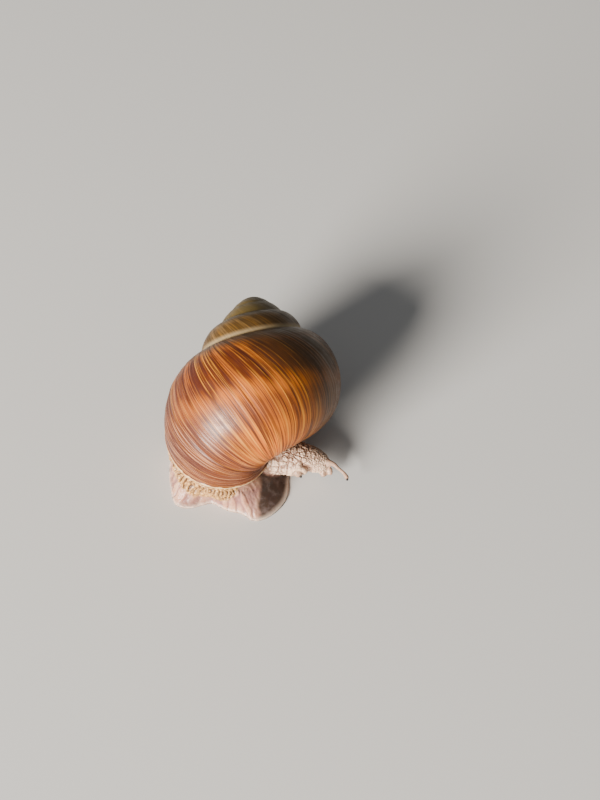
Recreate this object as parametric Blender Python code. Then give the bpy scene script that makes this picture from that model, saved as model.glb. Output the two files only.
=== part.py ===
"""Roman snail, life-size still model: coiled shell, foot, mantle collar, neck, head, tentacles and eyes.

Metres, +Z up. The sole and the shell's belly rest on the plane z = 0, under the middle of the model.
"""

import math

import bmesh
import bpy
import numpy as np
from mathutils import Matrix, Vector

# Shell coil: one whorl's section and how it grows about the coiling axis, with the apex as centre.
WHORL_REACH = 0.0099  # axis to the middle of the last whorl, at the lip
WHORL_DROP = 0.0308  # apex to the middle of the last whorl, along the axis
WHORL_HALF_WIDTH = 0.0133
WHORL_HALF_HEIGHT = 0.0167
GROWTH_OUT = 1.72  # growth away from the axis, each turn
GROWTH_DOWN = 1.834  # growth along the axis, each turn
TURNS = 5.5
STEPS_PER_TURN = 32
HALVINGS = 50  # how often the search for the suture halves its range
WELD = 0.00001
LIP_SLANT_STEPS = 2  # how far the lip trails over the part of a whorl that stays in sight
ARC_SEGMENTS = 7
BASE_SEGMENTS = 14
APEX_BLUNT = 0.0019  # how far the rounding of the tip lowers it
SPIRE_SWELL = 0.15  # the oldest whorls are this much wider than the growth law says
SWELL_REACH = 0.0083  # and the swell fades out this far down the axis
LIP_THICKNESS = 0.0013
APERTURE_DEPTH_STEPS = 1.3  # how far the hollow goes back, in steps
RIM_SAMPLES = 40  # points read along the outer lip, and half as many along each other side
COLUMELLA_CALLUS = 0.008  # how far the callus fills the aperture's corner at the columella
SUTURE_CALLUS = 0.005  # and the one at the suture

# Shell pose: the axis points up and back, the aperture faces the ground.
APEX = Vector((-0.0015, 0.0237, 0.02304))
SHELL_HEADING = math.radians(8.0)
SHELL_TILT = math.radians(25.1)
SHELL_ROLL = math.radians(170.9)

# Body: the foot under the aperture, drawn in plan from the tail round by the front side.
SOLE_OUTLINE = [
    (-0.0198, -0.0085),
    (-0.0195, -0.0150),
    (-0.0180, -0.0200),
    (-0.0145, -0.0208),
    (-0.0098, -0.0195),
    (-0.0062, -0.0213),
    (-0.0024, -0.0224),
    (-0.0006, -0.0240),
    (0.0020, -0.0238),
    (0.0048, -0.0219),
    (0.0072, -0.0185),
    (0.0076, -0.0120),
    (0.0050, -0.0060),
    (-0.0010, -0.0030),
    (-0.0100, -0.0022),
    (-0.0170, -0.0034),
]
COLLAR_OUTLINE = [
    (-0.0197, -0.0030, 0.0060),
    (-0.0197, -0.0090, 0.0062),
    (-0.0173, -0.0146, 0.0066),
    (-0.0130, -0.0187, 0.0069),
    (-0.0079, -0.0203, 0.0070),
    (-0.0029, -0.0193, 0.0065),
    (0.0014, -0.0162, 0.0052),
    (0.0036, -0.0115, 0.0044),
    (0.0030, -0.0060, 0.0050),
    (-0.0010, -0.0028, 0.0060),
    (-0.0070, -0.0012, 0.0068),
    (-0.0115, 0.0015, 0.0070),
    (-0.0145, 0.0045, 0.0070),
    (-0.0178, 0.0030, 0.0062),
]
RING_POINTS = 56
CURVE_POINTS = 12  # points read between two corners of an outline
COLLAR_FIT = 0.76  # the collar's share of the aperture, inside the lip
COLLAR_DEPTH_STEPS = 0.7  # how far it goes in
# From the collar's outline, 0, to the sole's, 1, with how far each level is drawn out sideways.
COLLAR_LEVELS = [(0.0, 0.97), (0.12, 1.0), (0.26, 0.99), (0.35, 0.96)]
FOOT_LEVELS = [(0.40, 0.95), (0.55, 0.95), (0.72, 0.95), (0.87, 0.97), (0.95, 1.0), (1.0, 0.975)]
TAIL_CUT = -0.0125
FRONT_CUT = -0.0015

# Neck and head: points of the middle line, with half the width and half the height at each.
NECK_LINE = [
    ((-0.0010, -0.0092, 0.0048), 0.0050, 0.0038),
    ((0.0040, -0.0098, 0.0050), 0.0046, 0.0037),
    ((0.0085, -0.0104, 0.0050), 0.0040, 0.0034),
    ((0.0116, -0.0105, 0.0048), 0.0034, 0.0031),
    ((0.0136, -0.0109, 0.0044), 0.0029, 0.0027),
    ((0.0153, -0.0114, 0.0041), 0.0022, 0.0021),
    ((0.0164, -0.0117, 0.0039), 0.0012, 0.0011),
]
NECK_CUT = 0.0088
NECK_SIDES = 20
STOPS_BETWEEN = 3  # stops added from each stop of a middle line to the next

# Tentacles: middle line and radius from the root to the tip.
LEFT_TENTACLE = [
    ((0.0142, -0.0108, 0.0048), 0.0011),
    ((0.0160, -0.0117, 0.0053), 0.0008),
    ((0.0175, -0.0122, 0.0052), 0.00055),
    ((0.0183, -0.0129, 0.0049), 0.00045),
    ((0.0192, -0.0135, 0.0045), 0.0004),
    ((0.0199, -0.0141, 0.0042), 0.00045),
    ((0.0204, -0.0148, 0.0039), 0.00055),
    ((0.0205, -0.0153, 0.0038), 0.0005),
]
RIGHT_TENTACLE = [
    ((0.0083, -0.0118, 0.0049), 0.0021),
    ((0.0092, -0.0133, 0.0047), 0.0016),
    ((0.0098, -0.0144, 0.0044), 0.0010),
    ((0.0101, -0.0149, 0.0043), 0.0006),
]
LOWER_LEFT_TENTACLE = [
    ((0.0158, -0.0118, 0.0038), 0.0008),
    ((0.0168, -0.0126, 0.0032), 0.0006),
    ((0.0168, -0.0136, 0.0027), 0.0005),
]
LOWER_RIGHT_TENTACLE = [
    ((0.0146, -0.0121, 0.0032), 0.0008),
    ((0.0152, -0.0132, 0.0027), 0.0007),
    ((0.0153, -0.0139, 0.0024), 0.00055),
]
TENTACLE_SIDES = 12

# Lips and eyes.
LIPS_MIDDLE = (0.0150, -0.0116, 0.0024)
LIPS_HALF_SIZE = (0.0017, 0.0013, 0.0010)
LIPS_SEGMENTS = (16, 10)
EYE_RADIUS = 0.0003
EYE_OUT = 0.3  # how far the eye's middle stands beyond the tip, as a share of its radius
EYE_SEGMENTS = (12, 8)

GAP = 0.0003


def clear_scene():
    for old in list(bpy.data.objects):
        bpy.data.objects.remove(old, do_unlink=True)
    for old in list(bpy.data.collections):
        bpy.data.collections.remove(old)


def new_collection(name):
    group = bpy.data.collections.new(name)
    bpy.context.scene.collection.children.link(group)
    return group


def material(name, colour, roughness):
    made = bpy.data.materials.new(name)
    made.use_nodes = True
    shader = made.node_tree.nodes["Principled BSDF"]
    shader.inputs["Base Color"].default_value = (*colour, 1.0)
    shader.inputs["Roughness"].default_value = roughness
    shader.inputs["Metallic"].default_value = 0.0
    return made


def object_from(bm, name, group, finish=None):
    bmesh.ops.recalc_face_normals(bm, faces=bm.faces)
    mesh = bpy.data.meshes.new(name)
    bm.to_mesh(mesh)
    bm.free()
    mesh.shade_smooth()
    made = bpy.data.objects.new(name, mesh)
    if finish:
        made.data.materials.append(finish)
    group.objects.link(made)
    return made


def trim(bm, point, outward):
    """Cuts away what lies beyond the plane and closes the cut."""
    geom = bm.verts[:] + bm.edges[:] + bm.faces[:]
    bmesh.ops.bisect_plane(bm, geom=geom, plane_co=point, plane_no=outward, clear_outer=True)
    rim = [e for e in bm.edges if e.is_boundary]
    if rim:
        bmesh.ops.edgeloop_fill(bm, edges=rim)



def section_point(t):
    """Distance from the axis and drop below the apex of the last whorl's section at angle t."""
    return (
        WHORL_REACH + WHORL_HALF_WIDTH * math.cos(t),
        WHORL_DROP + WHORL_HALF_HEIGHT * math.sin(t),
    )


def on_whorl_before(t):
    """Angle at which the point at t sits on the whorl before, and how far outside it the point is."""
    reach, drop = section_point(t)
    across = (reach * GROWTH_OUT - WHORL_REACH) / WHORL_HALF_WIDTH
    along = (drop * GROWTH_DOWN - WHORL_DROP) / WHORL_HALF_HEIGHT
    return math.atan2(along, across), across**2 + along**2 - 1


def suture_angle():
    low, high = -math.pi / 2, 0.0
    for _ in range(HALVINGS):
        middle = (low + high) / 2
        if on_whorl_before(middle)[1] > 0:
            high = middle
        else:
            low = middle
    return high


SUTURE = suture_angle()
COVERED = on_whorl_before(SUTURE)[0]  # below this angle the next whorl hides the wall
AXIS_ANGLE = math.acos(-WHORL_REACH / WHORL_HALF_WIDTH)  # where the base meets the axis
STEP = 2 * math.pi / STEPS_PER_TURN


def growth_slant(t):
    """Turn by which the growing edge trails at section angle t."""
    return -LIP_SLANT_STEPS * STEP * t / (COVERED - SUTURE)


def coil_point(turn, t):
    """Point of the shell wall, in the shell's own frame: apex at the origin, axis along +Z."""
    reach, drop = section_point(t)
    turn += growth_slant(t)
    out = reach * GROWTH_OUT ** (turn / (2 * math.pi))
    down = drop * GROWTH_DOWN ** (turn / (2 * math.pi))
    return Vector((out * math.cos(turn), -out * math.sin(turn), -down))


def growth(turn):
    """Turn and growth about the apex that carries the wall forward by an angle."""
    share = turn / (2 * math.pi)
    size = Matrix.Diagonal((GROWTH_OUT**share, GROWTH_OUT**share, GROWTH_DOWN**share, 1))
    return Matrix.Rotation(-turn, 4, "Z") @ size


def rounded(point):
    """The point moved so that the tip is blunt and the oldest whorls swell into a low dome."""
    depth = -point.z
    swell = 1 + SPIRE_SWELL * math.exp(-((depth / SWELL_REACH) ** 2))
    return Vector((point.x * swell, point.y * swell, -math.hypot(depth, APEX_BLUNT)))


def shell_pose():
    lean = Matrix.Rotation(SHELL_TILT - math.pi / 2, 4, "X")
    heading = Matrix.Rotation(SHELL_HEADING, 4, "Z")
    return Matrix.Translation(APEX) @ heading @ lean @ Matrix.Rotation(SHELL_ROLL, 4, "Z")


def arc_angles(start, end, count):
    return [start + (end - start) * i / count for i in range(count + 1)]


def sweep_arc(bm, angles, start_turn, steps):
    """A strip of wall: the arc drawn at start_turn, extruded step by step with the growth map."""
    row = [bm.verts.new(coil_point(start_turn, t)) for t in angles]
    edges = [bm.edges.new(pair) for pair in zip(row, row[1:])]
    for _ in range(steps):
        made = bmesh.ops.extrude_edge_only(bm, edges=edges)["geom"]
        moved = [v for v in made if isinstance(v, bmesh.types.BMVert)]
        edges = [e for e in made if isinstance(e, bmesh.types.BMEdge)]
        bmesh.ops.transform(bm, matrix=growth(STEP), verts=moved)


def aperture_loop(bm):
    """Open edges round the aperture: all open edges but those of the tip's small hole."""
    open_edges = [e for e in bm.edges if e.is_boundary]
    return [e for e in open_edges if max(v.co.length for v in e.verts) > WHORL_HALF_WIDTH]


def calluses():
    """The aperture's two deep corners, each with how far its callus reaches."""
    start = (LIP_SLANT_STEPS - STEPS_PER_TURN) * STEP
    at_columella = coil_point(start, AXIS_ANGLE), COLUMELLA_CALLUS
    at_suture = coil_point(0, SUTURE), SUTURE_CALLUS
    return at_columella, at_suture


def fill_calluses(bm):
    """Closes the deep corners of the aperture with flat webs."""
    for corner, reach in calluses():
        rim = {v for e in aperture_loop(bm) for v in e.verts}
        near = [v for v in rim if (v.co - corner).length < reach]
        web = bmesh.ops.contextual_create(bm, geom=near)["faces"]
        bmesh.ops.triangulate(bm, faces=web)


def close_loop(bm, edges):
    cap = bmesh.ops.edgeloop_fill(bm, edges=edges)["faces"]
    bmesh.ops.poke(bm, faces=cap)


def hollow_aperture(bm, rim):
    """Closes the aperture, leaves a rim as the lip and sinks the rest back into the last whorl."""
    cap = bmesh.ops.edgeloop_fill(bm, edges=rim)["faces"]
    bmesh.ops.inset_individual(bm, faces=cap, thickness=LIP_THICKNESS, use_even_offset=True)
    floor = bmesh.ops.extrude_discrete_faces(bm, faces=cap)["faces"]
    back = growth(-STEP * APERTURE_DEPTH_STEPS)
    bmesh.ops.transform(bm, matrix=back, verts=floor[0].verts)
    bmesh.ops.triangulate(bm, faces=floor)


def shell_mesh():
    bm = bmesh.new()
    steps = round(TURNS * STEPS_PER_TURN)
    sweep_arc(bm, arc_angles(SUTURE, COVERED, ARC_SEGMENTS), -steps * STEP, steps)
    base_steps = STEPS_PER_TURN - LIP_SLANT_STEPS
    sweep_arc(bm, arc_angles(COVERED, AXIS_ANGLE, BASE_SEGMENTS), -base_steps * STEP, base_steps)
    bmesh.ops.remove_doubles(bm, verts=bm.verts, dist=WELD)
    fill_calluses(bm)
    aperture = aperture_loop(bm)
    close_loop(bm, [e for e in bm.edges if e.is_boundary and e not in set(aperture)])
    hollow_aperture(bm, aperture)
    for vertex in bm.verts:
        vertex.co = rounded(vertex.co)
    bmesh.ops.transform(bm, matrix=shell_pose(), verts=bm.verts)
    trim(bm, Vector(), Vector((0, 0, -1)))
    return bm


def make_shell(group):
    return object_from(shell_mesh(), "shell", group, material("shell", (0.55, 0.25, 0.09), 0.3))


def curve_between(before, start, end, after, count):
    """Points of a smooth curve from start up to end, led by the points before and after them."""
    t = np.linspace(0, 1, count, endpoint=False)[:, None]
    bend = 2 * before - 5 * start + 4 * end - after
    swing = 3 * start - before - 3 * end + after
    return start + 0.5 * (t * (end - before) + t**2 * bend + t**3 * swing)


def spline_ring(corners):
    """A closed smooth curve through the corners, read at even angles."""
    corners = np.array(corners)
    pieces = []
    for i in range(len(corners)):
        before, start, end, after = (corners[(i + k) % len(corners)] for k in (-1, 0, 1, 2))
        pieces.append(curve_between(before, start, end, after, CURVE_POINTS))
    return ring_by_angle(np.concatenate(pieces), RING_POINTS)


def ring_by_angle(points, count):
    """A closed outline read at even angles, in plan, about its middle."""
    points = np.array(points)
    closed = np.vstack([points, points[:1]])
    lengths = np.linalg.norm(np.diff(closed, axis=0), axis=1)[:, None]
    middle = (closed[1:] + closed[:-1]) * lengths / 2
    middle = middle.sum(axis=0) / lengths.sum()
    angle = np.unwrap(np.arctan2(closed[:, 1] - middle[1], closed[:, 0] - middle[0]))
    if angle[-1] < angle[0]:
        closed, angle = closed[::-1], angle[::-1]
    at = np.linspace(0, 2 * math.pi, count, endpoint=False)
    at += 2 * math.pi * np.ceil((angle[0] - at) / (2 * math.pi))
    return np.stack([np.interp(at, angle, axis) for axis in closed.T], axis=1)


def drawn_in(ring, share):
    middle = ring.mean(axis=0)
    return middle + (ring - middle) * share


def aperture_ring(steps_back, share):
    """The aperture's outline so many steps inside the lip, drawn in by a share."""
    outer = [coil_point(0, t) for t in arc_angles(SUTURE, AXIS_ANGLE, RIM_SAMPLES)]
    start = (LIP_SLANT_STEPS - STEPS_PER_TURN) * STEP
    few = RIM_SAMPLES // 2
    column = [coil_point(start * i / few, AXIS_ANGLE) for i in range(1, few)]
    inner = [coil_point(start, t) for t in arc_angles(AXIS_ANGLE, COVERED, few)]
    points = outer + column + inner
    for corner, reach in calluses():
        points = [p for p in points if (p - corner).length > reach]
    back = growth(-STEP * steps_back)
    points = [shell_pose() @ rounded(back @ p) for p in points]
    return drawn_in(ring_by_angle(points, RING_POINTS), share)


def loft(rings):
    """A closed solid through rings of equally many points, each end closed over its middle."""
    bm = bmesh.new()
    rows = [[bm.verts.new(p) for p in ring] for ring in rings]
    for upper, lower in zip(rows, rows[1:]):
        for i in range(len(upper)):
            j = (i + 1) % len(upper)
            bm.faces.new((upper[i], upper[j], lower[j], lower[i]))
    ends = [bm.faces.new(rows[0]), bm.faces.new(rows[-1])]
    bmesh.ops.poke(bm, faces=ends)
    return bm


def body_rings(levels):
    """Rings from the collar, level 0, down to the sole, level 1, each widened by its swell."""
    top = spline_ring(COLLAR_OUTLINE)
    sole = spline_ring([(x, y, 0) for x, y in SOLE_OUTLINE])
    rings = []
    for level, swell in levels:
        ring = top + (sole - top) * level
        middle = ring.mean(axis=0)
        rings.append(middle + (ring - middle) * np.array([swell, swell, 1.0]))
    return rings


def collar_mesh():
    inside = [aperture_ring(back, COLLAR_FIT) for back in (COLLAR_DEPTH_STEPS, 0)]
    return loft(inside + body_rings(COLLAR_LEVELS))


def foot_mesh():
    return loft(body_rings(FOOT_LEVELS))


def swept(line, sides):
    """A tube along a line of (point, half width, half height), or (point, radius)."""
    rings = []
    points = [Vector(stop[0]) for stop in line]
    for i, stop in enumerate(line):
        ahead = points[min(i + 1, len(line) - 1)] - points[max(i - 1, 0)]
        side = ahead.cross(Vector((0, 0, 1))).normalized()
        over = side.cross(ahead).normalized()
        wide, high = stop[1], stop[-1]
        turns = [2 * math.pi * k / sides for k in range(sides)]
        rings.append([points[i] + side * wide * math.cos(a) + over * high * math.sin(a) for a in turns])
    return loft(rings)


def smooth_line(line):
    """More stops along a line, on a smooth curve through the given ones."""
    stops = np.array([[*point, *sizes] for point, *sizes in line])
    padded = np.vstack([2 * stops[0] - stops[1], stops, 2 * stops[-1] - stops[-2]])
    made = []
    for i in range(len(stops) - 1):
        made.extend(curve_between(*padded[i : i + 4], STOPS_BETWEEN))
    made.append(stops[-1])
    return [(tuple(row[:3]), *row[3:]) for row in made]


def grown_copy(source, distance, group):
    """A cutter: the same shape with its surface moved outward, never drawn."""
    mesh = source.data.copy()
    moved = [vertex.co + vertex.normal * distance for vertex in mesh.vertices]
    for vertex, place in zip(mesh.vertices, moved):
        vertex.co = place
    cutter = bpy.data.objects.new(source.name + "_grown", mesh)
    cutter.hide_render = True
    cutter.display_type = "WIRE"
    group.objects.link(cutter)
    return cutter


def cut_by(target, cutter):
    modifier = target.modifiers.new("clear of " + cutter.name, "BOOLEAN")
    modifier.operation = "DIFFERENCE"
    modifier.solver = "EXACT"
    modifier.object = cutter


def make_foot(group, finish):
    """Tail, middle and front of the foot, parted by two thin upright cuts."""
    spans = {
        "foot_tail": (None, TAIL_CUT),
        "foot_middle": (TAIL_CUT, FRONT_CUT),
        "foot_front": (FRONT_CUT, None),
    }
    made = []
    for name, (start, end) in spans.items():
        bm = foot_mesh()
        if start is not None:
            trim(bm, Vector((start + GAP / 2, 0, 0)), Vector((-1, 0, 0)))
        if end is not None:
            trim(bm, Vector((end - GAP / 2, 0, 0)), Vector((1, 0, 0)))
        made.append(object_from(bm, name, group, finish))
    return made


def make_neck_and_head(group, finish):
    line = smooth_line(NECK_LINE)
    made = []
    for name, side in (("neck", 1), ("head", -1)):
        bm = swept(line, NECK_SIDES)
        trim(bm, Vector((NECK_CUT - side * GAP / 2, 0, 0)), Vector((side, 0, 0)))
        made.append(object_from(bm, name, group, finish))
    return made


def make_tentacle(name, line, group, finish):
    return object_from(swept(smooth_line(line), TENTACLE_SIDES), name, group, finish)


def make_eye(name, line, group, finish):
    bm = bmesh.new()
    around, along = EYE_SEGMENTS
    bmesh.ops.create_uvsphere(bm, u_segments=around, v_segments=along, radius=EYE_RADIUS)
    tip, before = Vector(line[-1][0]), Vector(line[-2][0])
    where = tip + (tip - before).normalized() * EYE_RADIUS * EYE_OUT
    bmesh.ops.translate(bm, vec=where, verts=bm.verts)
    return object_from(bm, name, group, finish)


def make_lips(group, finish):
    bm = bmesh.new()
    around, along = LIPS_SEGMENTS
    bmesh.ops.create_uvsphere(bm, u_segments=around, v_segments=along, radius=1.0)
    bmesh.ops.scale(bm, vec=LIPS_HALF_SIZE, verts=bm.verts)
    bmesh.ops.translate(bm, vec=LIPS_MIDDLE, verts=bm.verts)
    return object_from(bm, "lips", group, finish)


def make_body(shell, group, cutters):
    skin = material("skin", (0.62, 0.50, 0.42), 0.45)
    mantle = material("mantle", (0.68, 0.52, 0.30), 0.5)
    pigment = material("eye", (0.02, 0.02, 0.02), 0.15)
    foot = object_from(foot_mesh(), "foot", cutters)
    collar = object_from(collar_mesh(), "mantle_collar", group, mantle)
    make_foot(group, skin)
    neck, head = make_neck_and_head(group, skin)
    shell_grown = grown_copy(shell, GAP, cutters)
    cut_by(neck, shell_grown)
    for near in (foot, collar):
        cut_by(neck, grown_copy(near, GAP, cutters))
    lips = make_lips(group, skin)
    head_grown = grown_copy(head, GAP, cutters)
    neck_grown = grown_copy(neck, GAP, cutters)
    cut_by(lips, head_grown)
    tentacles = {
        "left_upper_tentacle": LEFT_TENTACLE,
        "right_upper_tentacle": RIGHT_TENTACLE,
        "left_lower_tentacle": LOWER_LEFT_TENTACLE,
        "right_lower_tentacle": LOWER_RIGHT_TENTACLE,
    }
    lips_grown = grown_copy(lips, GAP, cutters)
    for name, line in tentacles.items():
        stalk = make_tentacle(name, line, group, skin)
        cut_by(stalk, head_grown)
        cut_by(stalk, neck_grown)
        if "lower" in name:
            cut_by(stalk, lips_grown)
        else:
            eye = make_eye(name.replace("upper_tentacle", "eye"), line, group, pigment)
            cut_by(stalk, grown_copy(eye, GAP / 2, cutters))
    bpy.data.objects.remove(foot)


def set_on_origin(groups, shown):
    """Hangs everything on one empty, placed so that the model's box stands centred on the origin."""
    bpy.context.view_layer.update()
    graph = bpy.context.evaluated_depsgraph_get()
    corners = []
    for piece in shown.objects:
        mesh = piece.evaluated_get(graph).to_mesh()
        corners += [vertex.co.to_tuple() for vertex in mesh.vertices]
    low, high = np.min(corners, axis=0), np.max(corners, axis=0)
    holder = bpy.data.objects.new("snail_origin", None)
    shown.objects.link(holder)
    for group in groups:
        for piece in group.objects:
            if piece is not holder:
                piece.parent = holder
    holder.location = (-(low[0] + high[0]) / 2, -(low[1] + high[1]) / 2, -low[2])


clear_scene()
parts = new_collection("roman_snail")
cutters = new_collection("cutters")
make_body(make_shell(parts), parts, cutters)
set_on_origin((parts, cutters), parts)
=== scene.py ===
import math

import bmesh
import bpy
import numpy as np
from mathutils import Matrix, Vector, noise
from mathutils.bvhtree import BVHTree


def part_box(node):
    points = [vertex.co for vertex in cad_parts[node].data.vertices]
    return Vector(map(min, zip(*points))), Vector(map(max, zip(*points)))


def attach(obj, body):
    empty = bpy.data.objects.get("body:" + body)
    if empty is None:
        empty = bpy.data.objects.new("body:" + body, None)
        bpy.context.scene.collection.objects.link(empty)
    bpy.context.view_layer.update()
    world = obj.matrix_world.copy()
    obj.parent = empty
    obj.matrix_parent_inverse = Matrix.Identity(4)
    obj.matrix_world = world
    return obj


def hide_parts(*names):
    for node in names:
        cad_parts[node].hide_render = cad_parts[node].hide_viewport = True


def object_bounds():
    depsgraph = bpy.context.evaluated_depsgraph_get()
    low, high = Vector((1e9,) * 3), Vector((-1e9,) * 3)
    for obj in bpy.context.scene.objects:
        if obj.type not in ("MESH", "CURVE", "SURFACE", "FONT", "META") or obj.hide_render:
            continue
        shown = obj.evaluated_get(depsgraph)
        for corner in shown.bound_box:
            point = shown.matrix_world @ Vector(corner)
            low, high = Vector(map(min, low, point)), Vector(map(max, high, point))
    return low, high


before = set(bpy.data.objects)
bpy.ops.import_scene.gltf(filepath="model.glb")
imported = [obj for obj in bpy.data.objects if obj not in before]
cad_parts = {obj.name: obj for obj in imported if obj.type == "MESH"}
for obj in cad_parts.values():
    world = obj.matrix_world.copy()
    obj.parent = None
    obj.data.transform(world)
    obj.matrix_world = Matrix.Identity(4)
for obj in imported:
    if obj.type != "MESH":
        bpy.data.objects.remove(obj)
cadLow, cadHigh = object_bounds()
print("frame loaded")

mm = 0.001
fullTurn = 2 * math.pi

cameraView = {
    "elevation": 55.0,  # degrees above the floor
    "distance": 255 * mm,
    "lens": 50,
    "sensor": 36,
    "aim": Vector((9.762, 3.6235, 8.53)) * mm,  # from the middle of the model's box, on the floor
}


def makeCamera():
    data = bpy.data.cameras.new("camera")
    data.lens = cameraView["lens"]
    data.sensor_width = cameraView["sensor"]
    camera = bpy.data.objects.new("camera", data)
    bpy.context.scene.collection.objects.link(camera)
    middle = (cadLow + cadHigh) / 2
    aim = Vector((middle.x, middle.y, cadLow.z)) + cameraView["aim"]
    lift = math.radians(cameraView["elevation"])
    camera.location = aim + Vector((0, -math.cos(lift), math.sin(lift))) * cameraView["distance"]
    camera.rotation_euler = (math.pi / 2 - lift, 0, 0)
    bpy.context.scene.camera = camera


makeCamera()


def addPiece(bm, name, finish, replaced=()):
    mesh = bpy.data.meshes.new(name)
    bm.to_mesh(mesh)
    bm.free()
    mesh.shade_smooth()
    piece = bpy.data.objects.new(name, mesh)
    bpy.context.scene.collection.objects.link(piece)
    mesh.materials.append(finish)
    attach(piece, "root")
    if replaced:
        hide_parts(*replaced)
    return piece


def smoothStep(low, high, value):
    share = np.clip((value - low) / (high - low), 0, 1)
    return share * share * (3 - 2 * share)


# a node with its settings, and its sockets set to a value or linked from another socket
def put(tree, kind, inputs=None, **settings):
    made = tree.nodes.new(kind)
    for key, value in settings.items():
        setattr(made, key, value)
    for key, value in (inputs or {}).items():
        if isinstance(value, bpy.types.NodeSocket):
            tree.links.new(value, made.inputs[key])
        else:
            made.inputs[key].default_value = value
    return made


def emptyFinish(name):
    finish = bpy.data.materials.new(name)
    finish.use_nodes = True
    tree = finish.node_tree
    return finish, tree, tree.nodes["Principled BSDF"]


def tint(tree, amount, under, over):
    inputs = {0: amount, 6: under, 7: over}  # a colour mix has its sockets at these places
    return put(tree, "ShaderNodeMix", inputs, data_type="RGBA").outputs[2]


# display colour, 0 to 255, as the linear value that a shader takes
def rgb(red, green, blue):
    return (*(((c / 255 + 0.055) / 1.055) ** 2.4 for c in (red, green, blue)), 1.0)


def cloud(tree, source, scale, detail=2.0, rough=0.5, warp=0.0):
    laid = put(tree, "ShaderNodeMapping", {"Vector": source, "Scale": scale}).outputs[0]
    inputs = {"Vector": laid, "Scale": 1.0, "Detail": detail, "Roughness": rough, "Distortion": warp}
    return put(tree, "ShaderNodeTexNoise", inputs).outputs["Fac"]


def band(tree, value, low, high, toLow=0.0, toHigh=1.0):
    inputs = {"Value": value, "From Min": low, "From Max": high, "To Min": toLow, "To Max": toHigh}
    return put(tree, "ShaderNodeMapRange", inputs, interpolation_type="SMOOTHSTEP").outputs["Result"]


def sums(tree, kind, first, *others):
    for other in others:
        first = put(tree, "ShaderNodeMath", {0: first, 1: other}, operation=kind).outputs[0]
    return first


coil = {
    "whorlReach": 9.9 * mm,  # axis to the middle of the last whorl, at the lip
    "whorlDrop": 30.8 * mm,  # apex to the middle of the last whorl, along the axis
    "halfWidth": 13.3 * mm,
    "halfHeight": 16.7 * mm,
    "growthOut": 1.72,
    "growthDown": 1.834,
    "turns": 5,
    "stepsPerTurn": 576,
    "slantSteps": 36,  # how far the lip trails over the part of a whorl that stays in sight
    "arcSegments": 18,
    "baseSegments": 34,
    "heading": math.radians(8.0),
    "tilt": math.radians(25.1),
    "roll": math.radians(170.9),
    "apexBlunt": 1.9 * mm,
    "spireSwell": 0.15,
    "swellReach": 8.3 * mm,
    "tipLoops": (0.75, 0.66, 0.5),
    "wornFrom": (1.2, 2.1),  # older whorls are flatter between their sutures, in turns
    "wornFlat": 0.62,
    "columellaCallus": 8 * mm,
    "sutureCallus": 5 * mm,
    "lipThickness": 0.75 * mm,
    "lipUneven": 0.4,
    "lipWaves": 420,  # per metre along the lip
    "lipLoops": 4,
    "throatTurn": math.radians(24),
    "throatLoops": 6,
    "lipFlare": 0.3 * mm,
    "lipFlareTurn": 0.10,
    "weld": 0.004 * mm,
    "halvings": 50,  # how often the search for the suture halves its range
}
relief = {
    "spacing": (0.020, 0.056),  # growth lines, in radians of turn
    "width": (0.25, 0.5),  # of a line, as a share of the least spacing
    "height": (0.012 * mm, 0.05 * mm),
    "taller": (1, 1, 1.6),  # and a line is one of these times as tall
    "checks": ((-0.61, 0.10 * mm), (-1.48, 0.12 * mm), (-1.81, 0.09 * mm), (-2.7, 0.08 * mm)),
    "checkWidth": 0.02,
    "wander": 0.012,
    "newer": (-1.5, -0.5, 1.5),  # taller lines from here to here along the turn, by this share
    "dent": 0.10 * mm,
    "lineBend": 0.15,  # the old growing edges bend forward at both ends of a whorl
    "straightAt": 0.1,
    "bendReach": 1.6,
    "bendOver": (0.3, 1.7),  # and the bend fades out towards the lip, in radians of turn
    "sutureFade": 0.12,  # the relief fades to nothing this near the suture, in radians of section
    # noise on the wall: scale along the section, scale along the turn, and a place of its own
    "driftNoise": (2.2, 2.5, 3.0),
    "fineDriftNoise": (7, 9, 8.0),
    "fineDriftShare": 0.4,
    "strengthNoise": (3.0, 14, 0.0),
    "strength": (0.75, 0.6),  # middle value, and how far the noise takes it either way
    "dentNoise": (2.6, 2.6, 5.0),
    "gridSteps": 40000,
    "gridBeyond": (0.2, 0.05),  # turns past the oldest whorl, and radians past the lip
    "seed": 11,
}


# distance from the axis and drop below the apex, on the last whorl's section at angle t
def sectionPoint(t):
    reach = coil["whorlReach"] + coil["halfWidth"] * math.cos(t)
    return reach, coil["whorlDrop"] + coil["halfHeight"] * math.sin(t)


# angle at which that point sits on the whorl before, and how far outside it the point is
def onWhorlBefore(t):
    reach, drop = sectionPoint(t)
    across = (reach * coil["growthOut"] - coil["whorlReach"]) / coil["halfWidth"]
    along = (drop * coil["growthDown"] - coil["whorlDrop"]) / coil["halfHeight"]
    return math.atan2(along, across), across**2 + along**2 - 1


def sutureAngle():
    low, high = -math.pi / 2, 0.0
    for _ in range(coil["halvings"]):
        middle = (low + high) / 2
        if onWhorlBefore(middle)[1] > 0:
            high = middle
        else:
            low = middle
    return high


suture = sutureAngle()
covered = onWhorlBefore(suture)[0]  # below this angle the next whorl hides the wall
axisAngle = math.acos(-coil["whorlReach"] / coil["halfWidth"])
stepTurn = fullTurn / coil["stepsPerTurn"]


def coilPoint(turn, t):
    reach, drop = sectionPoint(t)
    turn -= coil["slantSteps"] * stepTurn * t / (covered - suture)
    out = reach * coil["growthOut"] ** (turn / fullTurn)
    down = drop * coil["growthDown"] ** (turn / fullTurn)
    return Vector((out * math.cos(turn), -out * math.sin(turn), -down))


def growth(turn):
    share = turn / fullTurn
    out, down = coil["growthOut"] ** share, coil["growthDown"] ** share
    return Matrix.Rotation(-turn, 4, "Z") @ Matrix.Diagonal((out, out, down, 1))


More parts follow.
